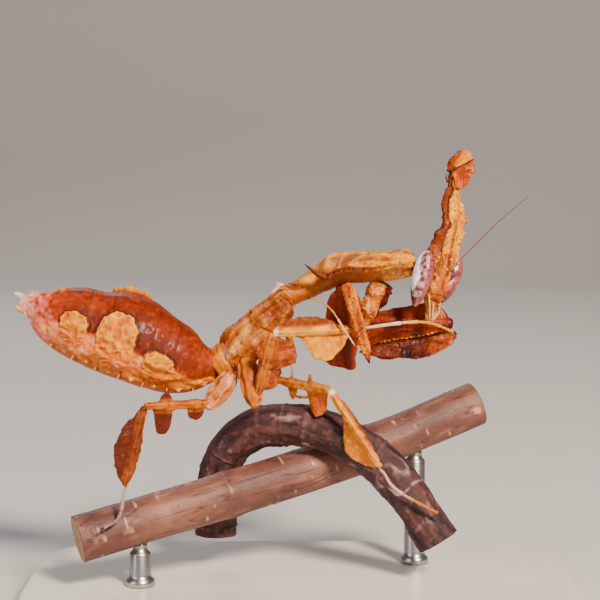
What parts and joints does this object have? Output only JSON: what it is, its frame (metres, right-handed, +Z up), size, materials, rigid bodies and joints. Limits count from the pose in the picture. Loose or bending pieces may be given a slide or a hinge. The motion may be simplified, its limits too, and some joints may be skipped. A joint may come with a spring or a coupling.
{
  "type": "ghost mantis nymph",
  "caption": "Life-size ghost mantis nymph with leafy lobes and a tall crown, holding a middle leg to its mouth, on crossed twigs over a flat display base.",
  "frame": {"origin": "centre of the stand base's flat underside", "axes": "+X the way the body points, +Y towards the insect's left, +Z up"},
  "size_m": [0.047, 0.028, 0.0385],
  "materials": {
    "shell": "warty orange-brown chitin, satin",
    "dark_shell": "smooth dark red chitin, glossy",
    "pale_shell": "pale leafy chitin, matte",
    "eye": "glossy compound eye with pink stripes",
    "tarsus": "cream-white foot joints",
    "branch_bark": "pinkish brown bark",
    "twig_bark": "dark ridged bark with grey lichen",
    "base": "warm white satin plate",
    "steel": "plain turned rods"
  },
  "bodies": {
    "root": {"head": "shell", "crown": "shell", "neck": "shell", "pronotum": "shell", "thorax": "shell", "abdomen": "shell", "antenna_right": "shell", "antenna_left": "shell", "eye_right": "eye", "cercus_right": "pale_shell", "fore_right_coxa": "shell", "fore_right_femur": "dark_shell", "fore_right_tibia": "shell", "fore_right_tarsus": "tarsus", "mid_right_coxa": "shell", "mid_right_femur": "shell", "mid_right_tibia": "pale_shell", "mid_right_tarsus": "tarsus", "hind_right_coxa": "shell", "hind_right_femur": "shell", "hind_right_tibia": "pale_shell", "hind_right_tarsus": "tarsus", "eye_left": "eye", "cercus_left": "pale_shell", "fore_left_coxa": "shell", "fore_left_femur": "dark_shell", "fore_left_tibia": "shell", "fore_left_tarsus": "tarsus", "mid_left_coxa": "shell", "mid_left_femur": "shell", "mid_left_tibia": "pale_shell", "mid_left_tarsus": "tarsus", "hind_left_coxa": "shell", "hind_left_femur": "shell", "hind_left_tibia": "pale_shell", "hind_left_tarsus": "tarsus", "mouthparts": "pale_shell", "perch_branch": "branch_bark", "perch_twig": "twig_bark", "stand_base": "base", "stand_rod_left": "steel", "stand_rod_right": "steel"}
  },
  "joints": []
}
